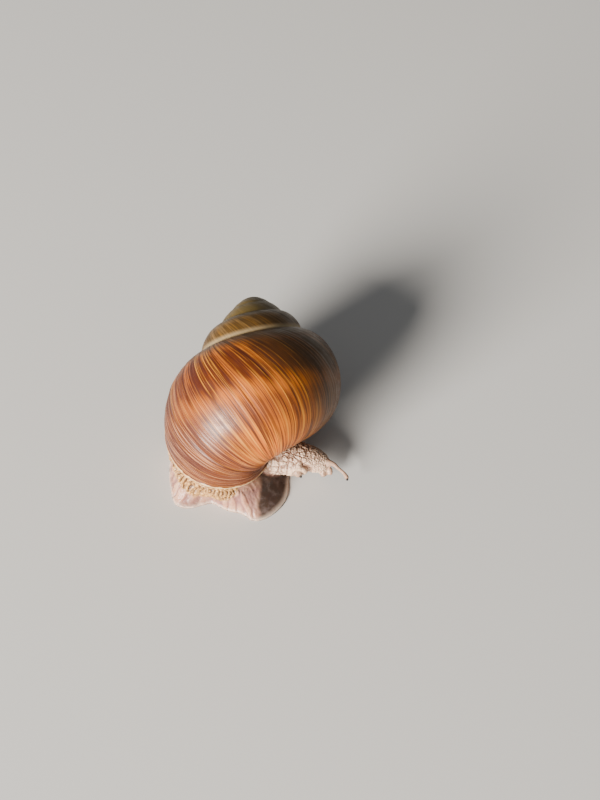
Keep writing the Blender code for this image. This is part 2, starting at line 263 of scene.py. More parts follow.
# one strip of the wall: an arc carried forward step by step as the shell grows
def sweepWall(bm, startAngle, endAngle, segments, steps):
    turnKey, angleKey = bm.verts.layers.float["turn"], bm.verts.layers.float["angle"]
    row = []
    for i in range(segments + 1):
        t = startAngle + (endAngle - startAngle) * i / segments
        made = bm.verts.new(coilPoint(-steps * stepTurn, t))
        made[turnKey], made[angleKey] = -steps * stepTurn, t
        row.append(made)
    edges = [bm.edges.new(pair) for pair in zip(row, row[1:])]
    step = growth(stepTurn)
    for count in range(1, steps + 1):
        made = bmesh.ops.extrude_edge_only(bm, edges=edges)["geom"]
        moved = [v for v in made if isinstance(v, bmesh.types.BMVert)]
        edges = [e for e in made if isinstance(e, bmesh.types.BMEdge)]
        bmesh.ops.transform(bm, matrix=step, verts=moved)
        for v in moved:
            v[turnKey] = (count - steps) * stepTurn


# each older whorl is the same wall, one turn of growth smaller
def olderWhorls(bm):
    turnKey = bm.verts.layers.float["turn"]
    whorl = bm.faces[:]
    for _ in range(coil["turns"] - 1):
        made = bmesh.ops.duplicate(bm, geom=whorl)["geom"]
        moved = [v for v in made if isinstance(v, bmesh.types.BMVert)]
        whorl = [f for f in made if isinstance(f, bmesh.types.BMFace)]
        bmesh.ops.transform(bm, matrix=growth(-fullTurn), verts=moved)
        for v in moved:
            v[turnKey] -= fullTurn


# sorts points, edges and faces by turn and angle, as they are made in a new order each run
def putInOrder(bm):
    turnKey, angleKey = bm.verts.layers.float["turn"], bm.verts.layers.float["angle"]
    keys = [lambda v: (v[turnKey], v[angleKey])] + [lambda form: sorted(v.index for v in form.verts)] * 2
    for items, key in zip((bm.verts, bm.edges, bm.faces), keys):
        rank = {item: i for i, item in enumerate(sorted(items, key=key))}
        items.sort(key=rank.get)
        items.index_update()


# draws the walls of the oldest whorls in towards the line between their sutures
def wearSpire(bm):
    turn, t = coilPlaces(bm)
    wearAndLitEdge = coil["wornFlat"] * smoothStep(*coil["wornFrom"], -turn / fullTurn)
    for v, a, b, share in zip(bm.verts, turn, t, wearAndLitEdge):
        if share > 0:
            start, end = coilPoint(a, suture), coilPoint(a, covered)
            v.co = v.co.lerp(start.lerp(end, (b - suture) / (covered - suture)), share)


# the turn at which the growth line through a point was laid down
def lineTurn(turn, t):
    away = np.clip(t - relief["straightAt"], -relief["bendReach"], relief["bendReach"])
    return turn - relief["lineBend"] * away**2 * smoothStep(*relief["bendOver"], -turn)


def coilPlaces(bm):
    turnKey, angleKey = bm.verts.layers.float["turn"], bm.verts.layers.float["angle"]
    return np.array([(v[turnKey], v[angleKey]) for v in bm.verts]).T


# the shell's own map: turns along its growth, and the angle round its section
def layMap(bm):
    turn, t = coilPlaces(bm)
    line = lineTurn(turn, t) / fullTurn
    key = bm.loops.layers.uv.new("shellMap")
    bm.verts.index_update()
    for f in bm.faces:
        for corner in f.loops:
            i = corner.vert.index
            corner[key].uv = (line[i], t[i])


def openRim(bm):
    size = coil["halfWidth"]
    return [e for e in bm.edges if e.is_boundary and max(v.co.length for v in e.verts) > size]


# closes a deep corner of the mouth with a web
def fillCallus(bm, corner, reach):
    near = [e for e in openRim(bm) if all((v.co - corner).length < reach for v in e.verts)]
    touched = [v for e in near for v in e.verts]
    ends = [v for v in touched if touched.count(v) == 1]
    chord = bm.edges.new(ends)
    web = bmesh.ops.edgeloop_fill(bm, edges=near + [chord])["faces"]
    bmesh.ops.triangulate(bm, faces=web)


# carries the last small whorl on to the apex and closes it there
def closeTip(bm):
    key = bm.loops.layers.uv["shellMap"]
    wall = set(bm.faces)
    rim = set(openRim(bm))
    edges = [e for e in bm.edges if e.is_boundary and e not in rim]
    for share in coil["tipLoops"]:
        made = bmesh.ops.extrude_edge_only(bm, edges=edges)["geom"]
        moved = [v for v in made if isinstance(v, bmesh.types.BMVert)]
        edges = [e for e in made if isinstance(e, bmesh.types.BMEdge)]
        bmesh.ops.scale(bm, vec=(share, share, share), verts=moved)
    bmesh.ops.poke(bm, faces=bmesh.ops.edgeloop_fill(bm, edges=edges)["faces"])
    for f in bm.faces:
        if f not in wall:
            for corner in f.loops:
                corner[key].uv = (-coil["turns"], 0)


# rounds the lip over and takes the wall back inside, closed deep in the mouth
def turnInLip(bm):
    edges = openRim(bm)
    rim = list(dict.fromkeys(v for e in edges for v in e.verts))
    middle = sum((v.co for v in rim), Vector()) / len(rim)
    loops = coil["lipLoops"]
    ahead = growth(stepTurn)
    for count in range(1, loops + 1):
        before, after = (count - 1) * math.pi / loops, count * math.pi / loops
        inward = (math.cos(before) - math.cos(after)) / 2
        forward = (math.sin(after) - math.sin(before)) / 2
        made = bmesh.ops.extrude_edge_only(bm, edges=edges)["geom"]
        edges = [e for e in made if isinstance(e, bmesh.types.BMEdge)]
        for v in made:
            if isinstance(v, bmesh.types.BMVert):
                uneven = 1 + coil["lipUneven"] * noise.noise(v.co * coil["lipWaves"])
                thick = coil["lipThickness"] * uneven
                v.co += (middle - v.co).normalized() * inward * thick
                v.co += (ahead @ v.co - v.co).normalized() * forward * thick
    back = growth(-coil["throatTurn"] / coil["throatLoops"])
    for _ in range(coil["throatLoops"]):
        made = bmesh.ops.extrude_edge_only(bm, edges=edges)["geom"]
        edges = [e for e in made if isinstance(e, bmesh.types.BMEdge)]
        bmesh.ops.transform(bm, matrix=back, verts=[v for v in made if isinstance(v, bmesh.types.BMVert)])
    bmesh.ops.poke(bm, faces=bmesh.ops.edgeloop_fill(bm, edges=edges)["faces"])


# height of the growth lines along the turn, on an even grid
def growthLines():
    draw = np.random.default_rng(relief["seed"])
    before, after = relief["gridBeyond"]
    grid = np.linspace(-(coil["turns"] + before) * fullTurn, after, relief["gridSteps"])
    height = np.zeros_like(grid)
    place = 0.0
    while place > grid[0]:
        place -= draw.uniform(*relief["spacing"])
        wide = draw.uniform(*relief["width"]) * relief["spacing"][0]
        tall = draw.uniform(*relief["height"]) * draw.choice(relief["taller"])
        near = np.abs(grid - place) < 5 * wide
        away = (grid[near] - place) / wide
        height[near] += tall * np.where(away < 0, np.exp(-(away**2) / 4), np.exp(-(away**2)))
    for where, deep in relief["checks"]:
        height -= deep * np.exp(-(((grid - where) / relief["checkWidth"]) ** 2))
    return grid, height


def wallNoise(name, turn, t):
    onSection, onTurn, place = relief[name]
    return noise.noise(Vector((t * onSection, turn * onTurn, place)))


def carveRelief(bm):
    turn, t = coilPlaces(bm)
    laid = lineTurn(turn, t)
    usual, spread = relief["strength"]
    drift, strength, dent = [], [], []
    for a, b in zip(turn, t):
        fine = relief["fineDriftShare"] * wallNoise("fineDriftNoise", a, b)
        drift.append(wallNoise("driftNoise", a, b) + fine)
        strength.append(usual + spread * wallNoise("strengthNoise", a, b))
        dent.append(relief["dent"] * wallNoise("dentNoise", a, b))
    line = np.interp(laid + relief["wander"] * np.array(drift), *growthLines()) * np.array(strength)
    start, full, taller = relief["newer"]
    line *= 1 + taller * smoothStep(start, full, turn)
    size = coil["growthOut"] ** (turn / fullTurn)
    edge = np.where(t < covered, np.clip((t - suture) / relief["sutureFade"], 0, 1), 1)
    flare = coil["lipFlare"] * smoothStep(-coil["lipFlareTurn"], 0.0, turn) ** 2
    height = size * edge * (line + np.array(dent)) + flare
    bm.normal_update()
    shifts = [v.normal * h for v, h in zip(bm.verts, height)]
    for v, shift in zip(bm.verts, shifts):
        v.co += shift


# blunts the tip and swells the oldest whorls into a low dome
def roundSpire(bm):
    for v in bm.verts:
        depth = -v.co.z
        swell = 1 + coil["spireSwell"] * math.exp(-((depth / coil["swellReach"]) ** 2))
        v.co = Vector((v.co.x * swell, v.co.y * swell, -math.hypot(depth, coil["apexBlunt"])))


def shellBody():
    bm = bmesh.new()
    bm.verts.layers.float.new("turn")
    bm.verts.layers.float.new("angle")
    sweepWall(bm, suture, covered, coil["arcSegments"], coil["stepsPerTurn"])
    olderWhorls(bm)
    wearSpire(bm)
    baseSteps = coil["stepsPerTurn"] - coil["slantSteps"]
    sweepWall(bm, covered, axisAngle, coil["baseSegments"], baseSteps)
    layMap(bm)
    putInOrder(bm)
    bmesh.ops.remove_doubles(bm, verts=bm.verts, dist=coil["weld"])
    bmesh.ops.recalc_face_normals(bm, faces=bm.faces)
    carveRelief(bm)
    fillCallus(bm, coilPoint(-baseSteps * stepTurn, axisAngle), coil["columellaCallus"])
    fillCallus(bm, coilPoint(0, suture), coil["sutureCallus"])
    closeTip(bm)
    turnInLip(bm)
    roundSpire(bm)
    return bm


# turns the shell into its pose, sets it in its solid's box and flattens its belly on the floor
def standShell(bm):
    lean = Matrix.Rotation(coil["tilt"] - math.pi / 2, 4, "X")
    turned = Matrix.Rotation(coil["heading"], 4, "Z") @ lean @ Matrix.Rotation(coil["roll"], 4, "Z")
    bmesh.ops.transform(bm, matrix=turned, verts=bm.verts)
    low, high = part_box("shell")
    points = np.array([v.co for v in bm.verts])
    shift = (low + high) / 2 - Vector((points.min(0) + points.max(0)) / 2)
    shift.z = high.z - points[:, 2].max()
    bmesh.ops.translate(bm, vec=shift, verts=bm.verts)
    below, floorPoint = (0, 0, -1), (0, 0, cadLow.z)
    geom = bm.verts[:] + bm.edges[:] + bm.faces[:]
    bmesh.ops.bisect_plane(bm, geom=geom, plane_co=floorPoint, plane_no=below, clear_outer=True)
    cut = [e for e in bm.edges if e.is_boundary]
    if cut:
        bmesh.ops.edgeloop_fill(bm, edges=cut)
    bmesh.ops.recalc_face_normals(bm, faces=bm.faces)


shellLook = {
    "amber": rgb(188, 100, 20),
    "orange": rgb(224, 114, 8),
    "golden": rgb(228, 152, 48),
    "redBrown": rgb(66, 22, 7),
    "mauve": rgb(104, 52, 32),
    # olive-brown painted shade, laid along the suture and on the back of the last whorl
    "oliveShade": rgb(64, 50, 15),
    # pale painted highlight along the older whorls just above the suture
    "tan": rgb(206, 160, 100),
    "wearAndLitEdge": rgb(222, 196, 150),
    "tip": rgb(104, 90, 50),
    # pale pink growth lines near the lip, partly a painted sheen
    "pinkLineSheen": rgb(216, 156, 124),
    "lip": rgb(226, 192, 140),
    "roughness": 0.44,
    "specular": 0.36,
    "roughSpread": (-0.06, 0.1),
    "roughNoise": (0.3, 0.7),  # values of the noise that give the ends of the spread
    "lineNoise": (0.36, 0.64),
    "lineRoughness": (0.08, -0.08),  # rougher in the dark lines, smoother in the pale ones
    "newestGloss": 0.1,  # roughness taken off near the lip
    "coat": 0.05,
    "coatRoughness": 0.2,
    "bumpHeight": 0.1 * mm,
    "bumpStrength": 0.4,
    "bumpNewest": (-0.35, -0.1, 1, 1.5),  # stronger near the lip
    "hairBump": 0.5,
    # noise on the shell's map: scale, detail, roughness and warp
    "noise": {
        "hair": ((420, 0.9, 1), 2, 0.6),
        "thin": ((210, 0.5, 1), 3, 0.6, 0.1),
        "golden": ((185, 0.3, 1), 2, 0.6, 0.1),
        "streak": ((52, 0.35, 1), 4, 0.7, 0.15),
        "broad": ((13, 0.5, 1), 2, 0.5, 0.2),
        "mottle": ((30, 5.0, 1), 4, 0.7, 0.3),
        "patchy": ((14, 6, 1), 3, 0.6),
    },
    # how much of each goes into the dark streaks
    "darkShares": {"streak": 1.0, "broad": 0.5, "upper": 0.26, "mottle": 0.12},
    # spiral bands, in radians of section: from, full, still full, to
    "upperBand": (-1.0, -0.62, -0.3, 0.12),
    "lowerBand": (0.05, 0.25, 0.45, 0.7),
    "lowerShare": 0.5,
    # where a colour starts and where it is full, with its share at both: in turns before the lip,
    "older": (-0.95, -1.15, 0, 0.85),
    "oldest": (-1.3, -2.3, 0, 0.6),
    # painted shade on the back of the last whorl, away from the lip
    "shadedBack": (-0.25, -0.42, 0, 0.72),
    "newestTurns": (-0.22, -0.06),
    "newestShares": (0.65, 0.6),  # under and over the thin lines
    # the older whorls that carry the painted highlight above the suture
    "litEdgeStart": (-0.95, -1.15),
    "litEdgeEnd": (-2.1, -1.9),
    "litEdgeReach": 0.2,  # radians of section
    "litEdgeShare": 0.4,
    "seamTurns": (-1.2, -0.9),
    "seamReach": (0.04, 0.01),  # radians of section past the suture
    "seamShare": 0.6,
    "lipEdge": (-0.004, -0.001),
    # in radians of section,
    "underside": (0.75, 1.2, 0, 0.7),
    # painted shade of olive along the suture, in two layers
    "shoulderShade": (-0.72, -1.05, 0, 0.35),
    "shadedShoulder": (-0.7, -1.1, 0, 0.55),
    "newestAngles": (-0.7, 0.3, 0.3, 1),
    # or in a noise's own value
    "darkStreaks": (0.82, 1.06, 0, 0.9),
    "thinDark": (0.50, 0.38, 0, 0.75),
    "thinGolden": (0.54, 0.64, 0, 0.5),
    "goldenLines": (0.58, 0.68, 0, 0.6),
    "hairDark": (0.51, 0.40, 0, 0.6),
    "pinkLineSheenBands": (0.52, 0.66, 0, 0.45),
    "seamPatches": (0.38, 0.6),
    "lipPatches": (0.35, 0.65, 0, 0.003),
}


def shellFinish():
    finish, tree, shader = emptyFinish("snail_shell")
    look = shellLook
    uv = put(tree, "ShaderNodeUVMap", uv_map="shellMap").outputs[0]
    parts = put(tree, "ShaderNodeSeparateXYZ", {"Vector": uv})
    along, across = parts.outputs[0], parts.outputs[1]
    made = {name: cloud(tree, uv, *laid) for name, laid in look["noise"].items()}
    hair, thin, mottle, patchy = (made[name] for name in ("hair", "thin", "mottle", "patchy"))

    def zone(name, value):
        return band(tree, value, *look[name])

    def both(first, second):
        return sums(tree, "MULTIPLY", first, second)

    def ring(name):
        low, lowFull, highFull, high = look[name]
        return both(band(tree, across, low, lowFull), band(tree, across, high, highFull))

    def lay(colour, amount, name):
        return tint(tree, amount, colour, look[name])

    # older whorls are tan, with two blurred spiral bands on the last one, broken up by streaks
    made["upper"] = ring("upperBand")
    dark = sums(tree, "ADD", *(both(made[name], share) for name, share in look["darkShares"].items()))
    newest = both(zone("newestTurns", along), zone("newestAngles", across))
    under, over = look["newestShares"]
    colour = tint(tree, zone("older", along), look["amber"], look["tan"])
    colour = lay(colour, zone("underside", across), "orange")
    colour = lay(colour, both(ring("lowerBand"), look["lowerShare"]), "mauve")
    colour = lay(colour, zone("darkStreaks", dark), "redBrown")
    # painted shade of olive along the suture
    colour = lay(colour, zone("shoulderShade", across), "oliveShade")
    colour = lay(colour, both(newest, under), "redBrown")
    # thin dark and golden lines of growth
    colour = lay(colour, zone("thinDark", thin), "redBrown")
    colour = lay(colour, zone("thinGolden", thin), "golden")
    colour = lay(colour, zone("goldenLines", made["golden"]), "golden")
    colour = lay(colour, zone("hairDark", hair), "redBrown")
    # painted shade of olive towards the suture and on the whorl's back away from the lip; redder near the
    # lip, with pale pink growth lines there that are partly a painted sheen
    colour = lay(colour, zone("shadedShoulder", across), "oliveShade")
    colour = lay(colour, zone("shadedBack", along), "oliveShade")
    colour = lay(colour, both(newest, over), "redBrown")
    # pale pink growth lines near the lip, partly a painted sheen
    colour = lay(colour, both(zone("pinkLineSheenBands", hair), newest), "pinkLineSheen")
    colour = lay(colour, zone("oldest", along), "tip")
    # the older whorls get a pale painted highlight just above the suture, and the suture and the lip are
    # pale in patches
    old = both(zone("litEdgeStart", along), zone("litEdgeEnd", along))
    wearAndLitEdge = both(band(tree, across, covered - look["litEdgeReach"], covered), old)
    colour = lay(colour, both(wearAndLitEdge, look["litEdgeShare"]), "wearAndLitEdge")
    kept = both(zone("seamTurns", along), zone("seamPatches", patchy))
    outer, inner = look["seamReach"]
    seam = both(band(tree, across, suture + outer, suture + inner), kept)
    colour = lay(colour, both(seam, look["seamShare"]), "lip")
    near = sums(tree, "ADD", along, zone("lipPatches", patchy))
    colour = lay(colour, zone("lipEdge", near), "lip")
    tree.links.new(colour, shader.inputs["Base Color"])
    less, more = look["roughSpread"]
    rough = band(tree, mottle, *look["roughNoise"], look["roughness"] + less, look["roughness"] + more)
    rough = sums(tree, "ADD", rough, band(tree, thin, *look["lineNoise"], *look["lineRoughness"]))
    rough = sums(tree, "SUBTRACT", rough, both(newest, look["newestGloss"]))
    tree.links.new(rough, shader.inputs["Roughness"])
    shader.inputs["Specular IOR Level"].default_value = look["specular"]
    shader.inputs["Coat Weight"].default_value = look["coat"]
    shader.inputs["Coat Roughness"].default_value = look["coatRoughness"]
    height = sums(tree, "ADD", both(hair, look["hairBump"]), thin)
    height = both(height, zone("bumpNewest", along))
    inputs = {"Height": height, "Strength": look["bumpStrength"], "Distance": look["bumpHeight"]}
    ridges = put(tree, "ShaderNodeBump", inputs).outputs[0]
    tree.links.new(ridges, shader.inputs["Normal"])
    tree.links.new(ridges, shader.inputs["Coat Normal"])
    return finish


def makeShell():
    bm = shellBody()
    standShell(bm)
    addPiece(bm, "shell_detailed", shellFinish(), ["shell"])


makeShell()
print("shell made")

skinShape = {
    "closeGaps": 0.25 * mm,  # how far each solid is swollen so that the thin cuts close
    "voxel": 0.203 * mm,  # gives about 190,000 triangles; a piece has to stay under 200,000
    "weld": 0.001 * mm,
    "smoothing": 7,
    "fineSmoothing": 2,
    "smoothFactor": 0.5,
    "refineNear": 0.5 * mm,  # finer faces this near the head's solids,
    "refineClear": 0.2 * mm,  # this far clear of the shell,
    "refineFrom": 4 * mm,  # and to this side of the middle
    "collarDepth": 5.8 * mm,  # how far the collar shows below the lip
    "collarSpan": (-19.4 * mm, -3.8 * mm),
    "collarRing": 2.6 * mm,  # and at the back
    "collarRagged": 0.35 * mm,
    "innerRagged": 0.9 * mm,
    "footRadius": 12,  # mm, for lengths round the foot
    "slitPitch": 1.25,  # mm between the collar's upright slits
    "slitDrift": 0.7,
    "slitLength": (4.2 * mm, 1.2 * mm),  # usual, and how far it varies
    "soleRise": 0.5 * mm,
    "soleFacing": -0.6,
    # cells of the skin: mm across along each axis, and an offset; the grooves' run round the foot and up
    "cells": {
        "groove": ((2.0, 1, 5.2), 3.0),
        "knob": ((1.1, 1.1, 1.4), 17.0),
        "granule": ((0.8, 0.8, 0.8), 41.0),  # of the collar
        "scale": ((1.35, 1.35, 1.35), 5.0),  # tubercles of the neck
        "grain": ((0.5, 0.5, 0.5), 9.0),  # of the head
    },
    # a cell is at its full height this far from its border, and its dark border is this wide
    "rims": {"groove": 0.35, "knob": 0.4, "granule": 0.45, "scale": 0.3, "grain": 0.4},
    "creases": {"groove": 0.4, "granule": 0.26, "scale": 0.28, "grain": 0.3},
    # waves: scale per mm, and an offset
    "waves": {
        "collar": (0.9, 4.0),
        "inner": (0.35, 31.0),
        "slit": (0.55, 8.0),
        "slitLength": (0.8, 21.0),
        "frill": (0.35, 13.0),
    },
    # where each zone starts and ends
    "fades": {
        "lobe": (0.4 * mm, 2.0 * mm),  # distances from the drawn-in feeler
        "notchStart": (0.8 * mm, 1.6 * mm),
        "notchEnd": (1.9 * mm, 2.8 * mm),
        "notchSide": (0, 1.2 * mm),
        "lips": (0.2 * mm, 0.8 * mm),
        "head": (-0.6 * mm, 0.6 * mm),  # how much nearer the head is than the body
        "feeler": (-0.2 * mm, 0.3 * mm),
        "collar": (-0.35 * mm, 0.35 * mm),
        "slitSide": (0.52, 0.82),
        "slitTop": (0.5 * mm, 1.1 * mm),  # distances from the shell
        "slitEnd": (-0.4 * mm, 0.3 * mm),
        "snout": (10.5 * mm, 13.0 * mm),
        # the foot's front flank, painted dark: mostly painted shade, partly the skin's own darker tone
        "inner": (-0.6 * mm, 1.6 * mm),
        "upright": (0.7, 0.95),  # how far the skin faces up or down
        "frillRise": (0.2 * mm, 1.1 * mm),
        "frillFacing": (-0.9, -0.3),
        # the head's upper back: darker skin, with painted shade on it
        "back": (0.1, 0.85),
    },
    # heights of the detail, in mm, or shares of them
    "heights": {
        "groove": 0.22,
        "knob": 0.07,
        "granule": 0.18,
        "slit": 0.34,
        "collarLow": 0.06,
        "scale": 0.20,
        "scaleSnout": 0.13,
        "grain": 0.14,
        "lobeSmooth": 0.6,
        "lobe": 0.5,
        "headLow": 0.2,
        "notch": 0.45,
        "feelerGrain": 0.04,
        "feelerLow": 0.03,
        "frill": 0.15,
        "frillWave": 0.18,
    },
    # how strongly each kind of border is drawn
    "drawn": {
        "groove": 0.85,
        "scale": 0.95,
        "scaleSnout": 0.5,
        "grain": 0.4,
        # the notch beside the feeler is painted dark as shade
        "notch": 0.6,
        "granule": 0.7,
        "frill": 1.3,
        "backUp": 0.35,
    },
}
feelers = ["left_upper_tentacle", "right_upper_tentacle", "left_lower_tentacle", "right_lower_tentacle"]
footNodes = ["foot_tail", "foot_middle", "foot_front"]
headNodes = ["neck", "head", "lips"]
fleshNodes = footNodes + headNodes + feelers + ["mantle_collar"]
footMiddle = (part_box("foot_tail")[0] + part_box("foot_front")[1]) / 2


def mergedCopy(name):
    bm = bmesh.new()
    bm.from_mesh(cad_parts[name].data)
    bmesh.ops.remove_doubles(bm, verts=bm.verts, dist=skinShape["weld"])
    bm.normal_update()
    return bm


# all flesh in one closed mesh of even faces, with the thin cuts grown shut
def joinFlesh():
    whole = bmesh.new()
    for name in fleshNodes:
        bm = mergedCopy(name)
        shifts = [v.normal * skinShape["closeGaps"] for v in bm.verts]
        for v, shift in zip(bm.verts, shifts):
            v.co += shift
            v.co.z = max(v.co.z, cadLow.z)
        part = bpy.data.meshes.new(name + "_copy")
        bm.to_mesh(part)
        bm.free()
        whole.from_mesh(part)
        bpy.data.meshes.remove(part)
    joined = bpy.data.meshes.new("flesh")
    whole.to_mesh(joined)
    whole.free()
    holder = bpy.data.objects.new("flesh", joined)
    bpy.context.scene.collection.objects.link(holder)
    remesh = holder.modifiers.new("remesh", "REMESH")
    remesh.mode = "VOXEL"
    remesh.voxel_size = skinShape["voxel"]
    bpy.context.view_layer.update()
    graph = bpy.context.evaluated_depsgraph_get()
    made = bpy.data.meshes.new_from_object(holder.evaluated_get(graph))
    bpy.data.objects.remove(holder)
    bm = bmesh.new()
    bm.from_mesh(made)
    bpy.data.meshes.remove(made)
    return bm


def smoothAll(bm, times):
    free = {"use_axis_x": True, "use_axis_y": True, "use_axis_z": True}
    for _ in range(times):
        bmesh.ops.smooth_vert(bm, verts=bm.verts, factor=skinShape["smoothFactor"], **free)


def distanceTo(names, points):
    trees = []
    for name in names:
        bm = mergedCopy(name)
        trees.append(BVHTree.FromBMesh(bm))
        bm.free()
    return np.array([min(tree.find_nearest(p)[3] for tree in trees) for p in points])


# how far a point is from the borders of a pattern of cells: 0 on a border, more in a cell's middle
def cells(points, pitch, offset):
    made = []
    for p in points:
        near = noise.voronoi(Vector((p[0] / pitch[0] + offset, p[1] / pitch[1], p[2] / pitch[2])))[0]
        made.append(near[1] - near[0])
    return np.array(made)


def wave(points, scale, offset):
    shift = Vector((offset, 0, 0))
    return np.array([noise.noise(Vector(p) * scale + shift) for p in points])


def refineHead(bm):
    points = [v.co.copy() for v in bm.verts]
    near = distanceTo(headNodes + feelers, points) < skinShape["refineNear"]
    outside = distanceTo(["shell"], points) > skinShape["refineClear"]
    bm.verts.index_update()
    chosen = near & outside & (np.array([p.x for p in points]) > skinShape["refineFrom"])
    edges = [e for e in bm.edges if all(chosen[v.index] for v in e.verts)]
    bmesh.ops.subdivide_edges(bm, edges=edges, cuts=1, use_grid_fill=True)


def fade(name, value):
    return smoothStep(*skinShape["fades"][name], value)


def raised(pattern, name):
    return smoothStep(0, skinShape["rims"][name], pattern[name])


def creased(pattern, name):
    return 1 - smoothStep(0, skinShape["creases"][name], pattern[name])


# each zone's share at the skin's points, 0 to 1, and their distance from the shell
def skinZones(points, at, normals):
    x, y, z = at.T
    waves, facing = skinShape["waves"], normals[:, 2]
    foot = distanceTo(footNodes, points)
    collar = distanceTo(["mantle_collar"], points)
    head = distanceTo(headNodes, points)
    feeler = distanceTo(feelers, points)
    shell = distanceTo(["shell"], points)
    stub = distanceTo(["right_upper_tentacle"], points)
    body = np.minimum(foot, collar)
    headShare = fade("head", body - np.minimum(head, feeler))
    # a notch parts the drawn-in feeler from the snout
    stubLow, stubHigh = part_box("right_upper_tentacle")
    notch = fade("notchStart", stub) * (1 - fade("notchEnd", stub))
    notch *= fade("notchSide", x - (stubLow.x + stubHigh.x) / 2)
    # the collar shows as a lens under the lip, and as a plain ring at the back
    start, end = skinShape["collarSpan"]
    along = (2 * x - start - end) / (end - start)
    lens = skinShape["collarDepth"] * np.sqrt(np.clip(1 - along**2, 0, 1))
    reach = np.where(y < footMiddle.y, lens, skinShape["collarRing"])
    ragged = skinShape["collarRagged"] * wave(at / mm, *waves["collar"])
    collarShare = (1 - fade("collar", shell + ragged - reach)) * (1 - headShare)
    footShare = np.clip(1 - collarShare - headShare, 0, 1)
    innerEdge = x + skinShape["innerRagged"] * wave(at / mm, *waves["inner"])
    return {
        "shell": shell,
        "foot": footShare,
        "collar": collarShare,
        "head": headShare,
        "feeler": fade("feeler", np.minimum(body, head) - feeler),
        "lobe": 1 - fade("lobe", stub),
        "notch": notch,
        "lips": 1 - fade("lips", distanceTo(["lips"], points)),
        "snout": fade("snout", x),
        # the foot's front flank, mostly painted shade over the skin's own darker tone
        "inner": footShare * fade("inner", innerEdge),
        "upright": 1 - fade("upright", np.abs(facing)),
        "frill": footShare * (1 - fade("frillRise", z)) * fade("frillFacing", facing),
        # the head where it faces back and up: darker skin with painted shade
        "back": headShare * fade("back", normals[:, 1] + skinShape["drawn"]["backUp"] * facing),
    }


# cells of each kind, the collar's slits, and the wave of the foot's edge on the floor
def skinPatterns(at, shell):
    x, y, z = at.T
    waves = skinShape["waves"]
    around = np.arctan2(y - footMiddle.y, x - footMiddle.x) * skinShape["footRadius"]
    laid = np.stack([around, np.zeros_like(around), z / mm], axis=1)
    made = {}
    for name, (pitch, offset) in skinShape["cells"].items():
        made[name] = cells(laid if name == "groove" else at / mm, pitch, offset)
    drift = skinShape["slitDrift"] * wave(laid, *waves["slit"])
    beat = np.abs((around / skinShape["slitPitch"] + drift) % 1 - 0.5) * 2
    usual, spread = skinShape["slitLength"]
    length = usual + spread * wave(laid, *waves["slitLength"])
    early, late = skinShape["fades"]["slitEnd"]
    slit = fade("slitSide", beat) * fade("slitTop", shell)
    made["slit"] = slit * (1 - smoothStep(length + early, length + late, shell))
    made["frill"] = wave(laid, *waves["frill"])
    return made


# height of the detail over the smooth skin, in mm
def skinHeight(zone, pattern):
    tall = skinShape["heights"]
    deep = tall["groove"] * (1 - zone["inner"]) * (1 - zone["frill"]) * zone["upright"]
    height = zone["foot"] * deep * (raised(pattern, "groove") - 1)
    height += zone["foot"] * tall["knob"] * (1 - zone["inner"]) * (raised(pattern, "knob") - 1)
    granules = tall["granule"] * raised(pattern, "granule")
    height += zone["collar"] * (granules - tall["slit"] * pattern["slit"] - tall["collarLow"])
    tubercle = (tall["scale"] - tall["scaleSnout"] * zone["snout"]) * raised(pattern, "scale")
    tubercle = tubercle + tall["grain"] * raised(pattern, "grain")
    bare = zone["head"] * (1 - zone["feeler"])
    smooth = 1 - tall["lobeSmooth"] * zone["lobe"]
    height += bare * (smooth * tubercle + tall["lobe"] * zone["lobe"] - tall["headLow"])
    height -= bare * tall["notch"] * zone["notch"]
    height += zone["feeler"] * (tall["feelerGrain"] * raised(pattern, "grain") - tall["feelerLow"])
    height += zone["frill"] * (tall["frill"] + tall["frillWave"] * pattern["frill"])
    return height


# shares that the skin's colours follow, kept on its points
def skinLayers(zone, pattern):
    drawn = skinShape["drawn"]
    crease = zone["foot"] * (1 - zone["inner"]) * zone["upright"] * creased(pattern, "groove")
    crease = crease * drawn["groove"]
    bare = zone["head"] * (1 - zone["feeler"]) * (1 - zone["lobe"])
    crease += bare * (drawn["scale"] - drawn["scaleSnout"] * zone["snout"]) * creased(pattern, "scale")
    # painted shade in the notch beside the feeler
    notch = zone["head"] * drawn["notch"] * zone["notch"]
    crease += bare * drawn["grain"] * creased(pattern, "grain") + notch
    pit = np.maximum(pattern["slit"], drawn["granule"] * creased(pattern, "granule"))
    layers = {name: zone[name] for name in ("collar", "head", "feeler", "inner", "lobe", "lips", "back")}
    layers["crease"] = np.clip(crease, 0, 1)
    layers["pit"] = zone["collar"] * pit
    layers["frill"] = np.clip(zone["frill"] * drawn["frill"], 0, 1)
    return layers


def makeSkin():
    bm = joinFlesh()
    smoothAll(bm, skinShape["smoothing"])
    refineHead(bm)
    smoothAll(bm, skinShape["fineSmoothing"])
    bm.normal_update()
    points = [v.co.copy() for v in bm.verts]
    at = np.array(points)
    normals = np.array([v.normal for v in bm.verts])
    print("skin points", len(points))
    zone = skinZones(points, at, normals)
    pattern = skinPatterns(at, zone["shell"])
    height = skinHeight(zone, pattern) * mm - skinShape["closeGaps"]
    sole = (at[:, 2] < skinShape["soleRise"]) & (normals[:, 2] < skinShape["soleFacing"])
    height[sole] = 0
    moved = at + normals * height[:, None]
    moved[sole, 2] = cadLow.z
    moved[:, 2] = np.maximum(moved[:, 2], cadLow.z)
    layers = skinLayers(zone, pattern)
    keys = {name: bm.verts.layers.float.new(name) for name in layers}
    for i, v in enumerate(bm.verts):
        v.co = moved[i]
        for name, key in keys.items():
            v[key] = layers[name][i]
    bmesh.ops.recalc_face_normals(bm, faces=bm.faces)
    addPiece(bm, "skin", skinFinish(), fleshNodes)


